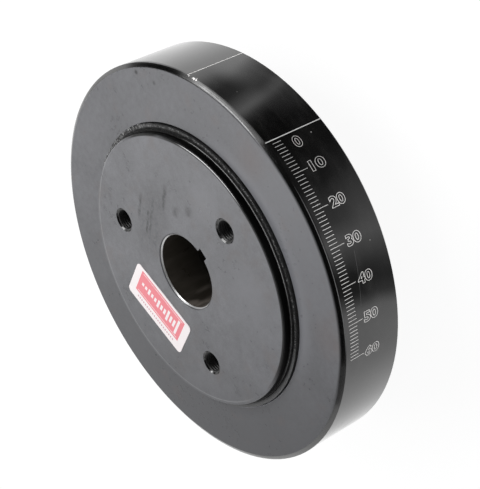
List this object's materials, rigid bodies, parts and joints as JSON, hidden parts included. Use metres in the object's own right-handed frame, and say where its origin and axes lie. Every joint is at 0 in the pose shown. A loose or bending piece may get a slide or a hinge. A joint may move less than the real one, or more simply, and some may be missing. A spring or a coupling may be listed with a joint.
{
  "type": "harmonic balancer",
  "caption": "Black steel crankshaft balancer: keyed press-on hub with a seal sleeve, inside a rubber-mounted inertia ring that carries an engraved timing scale.",
  "frame": {"origin": "on the bore's axis, in the plane of the sleeve's rear end, which seats against the timing gear", "axes": "+Z along the bore axis, out of the front face that the pulley bolts to; +X through the keyway"},
  "size_m": [0.1714, 0.1714, 0.0598],
  "materials": {
    "hub_steel": "satin black oxide",
    "ring_steel": "gloss black",
    "elastomer": "matt",
    "sticker": "gloss"
  },
  "bodies": {
    "root": {"hub": "hub_steel", "elastomer_ring": "elastomer", "inertia_ring": "ring_steel", "label": "sticker"}
  },
  "joints": []
}
